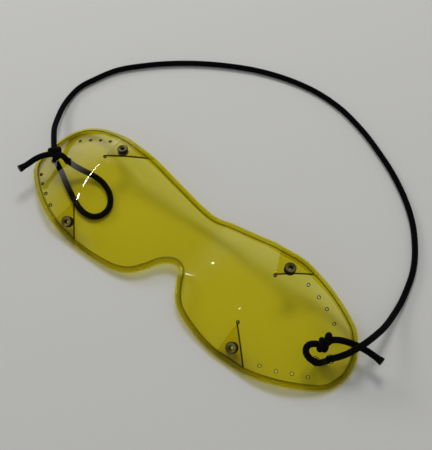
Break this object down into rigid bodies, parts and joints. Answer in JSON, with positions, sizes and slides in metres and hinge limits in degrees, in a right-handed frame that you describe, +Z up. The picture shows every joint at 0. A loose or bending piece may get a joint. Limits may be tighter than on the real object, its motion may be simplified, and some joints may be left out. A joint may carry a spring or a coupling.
{
  "type": "flexible goggles",
  "caption": "Flexible wraparound goggles: one clear tinted sheet with riveted darts and a folded bound edge, on a knotted elastic head cord.",
  "frame": {"origin": "on the table, under the middle of the bound sheet, lying face side up and rim down, without its cord", "axes": "+X along the sheet's length towards the end with the small cord loop, +Y towards the straight brow edge, +Z up from the table and out of the face side"},
  "size_m": [0.2176, 0.1556, 0.017],
  "materials": {
    "tinted_sheet": "glossy clear yellow vinyl",
    "tinted_binding": "glossy folded yellow vinyl strip",
    "dark_metal": "dark antique plating",
    "black_elastic": "matt braid"
  },
  "bodies": {
    "goggles": {"lens_sheet": "tinted_sheet", "edge_binding": "tinted_binding", "eyelet_left_upper": "dark_metal", "eyelet_left_lower": "dark_metal", "eyelet_right_upper": "dark_metal", "eyelet_right_lower": "dark_metal", "washer_left_upper": "dark_metal", "washer_left_lower": "dark_metal", "washer_right_upper": "dark_metal", "washer_right_lower": "dark_metal", "cord_left_loop": "black_elastic", "cord_left_knot": "black_elastic", "cord_left_tail": "black_elastic", "cord_right_loop": "black_elastic", "cord_right_knot": "black_elastic", "cord_right_tail": "black_elastic"},
    "strap": {"head_cord": "black_elastic"}
  },
  "joints": [
    {"name": "strap_swing", "type": "hinge", "parent": "goggles", "child": "strap", "pos_m": [-0.0846, -0.0006, 0.0103], "axis": [0.9998, -0.0024, -0.0176], "range_deg": [0, 110]}
  ]
}
